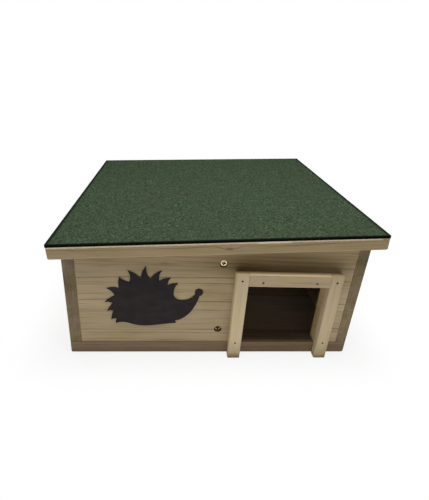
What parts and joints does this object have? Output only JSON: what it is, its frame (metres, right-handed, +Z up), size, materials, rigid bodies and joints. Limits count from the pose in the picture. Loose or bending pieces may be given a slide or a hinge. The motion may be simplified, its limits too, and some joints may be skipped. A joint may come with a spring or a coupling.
{
  "type": "hedgehog house",
  "caption": "Low wooden hedgehog house with a sloping felted lid hinged at the back, a framed entrance, an inner partition and a hedgehog figure on the front.",
  "frame": {"origin": "centre of the underside of the base board, which rests on the ground", "axes": "+X to the right as seen from the front, +Y from the front to the back, +Z up"},
  "size_m": [0.4497, 0.4598, 0.2122],
  "materials": {
    "board_wood": "planed bare softwood, edge-glued",
    "strip_wood": "planed bare softwood strip, paler",
    "figure_paint": "matt near-black paint on thin board",
    "roof_felt": "green mineral granules on bitumen felt, black cut edge",
    "hinge_zinc": "bright zinc plate",
    "yellow_zinc": "yellow zinc plate",
    "pin_steel": "dull steel"
  },
  "bodies": {
    "house": {"base_board": "board_wood", "left_side_panel": "board_wood", "right_side_panel": "board_wood", "front_panel": "board_wood", "back_panel": "board_wood", "partition_board": "board_wood", "porch_left_jamb": "strip_wood", "porch_right_jamb": "strip_wood", "porch_lintel": "strip_wood", "hedgehog_plaque": "figure_paint", "left_hinge_wall_leaf": "hinge_zinc", "right_hinge_wall_leaf": "hinge_zinc", "left_hinge_pin": "hinge_zinc", "right_hinge_pin": "hinge_zinc", "partition_screws": "yellow_zinc", "left_wall_screws": "yellow_zinc", "right_wall_screws": "yellow_zinc", "base_screws": "yellow_zinc", "porch_pins": "pin_steel", "hinge_wall_screws": "hinge_zinc"},
    "lid": {"roof_board": "board_wood", "roof_felt": "roof_felt", "left_hinge_lid_leaf": "hinge_zinc", "right_hinge_lid_leaf": "hinge_zinc", "hinge_lid_screws": "hinge_zinc"}
  },
  "joints": [
    {"name": "lid_hinge", "type": "hinge", "parent": "house", "child": "lid", "pos_m": [0, 0.2238, 0.1755], "axis": [-0.9979, 0, -0.0642], "range_deg": [0, 170]}
  ]
}
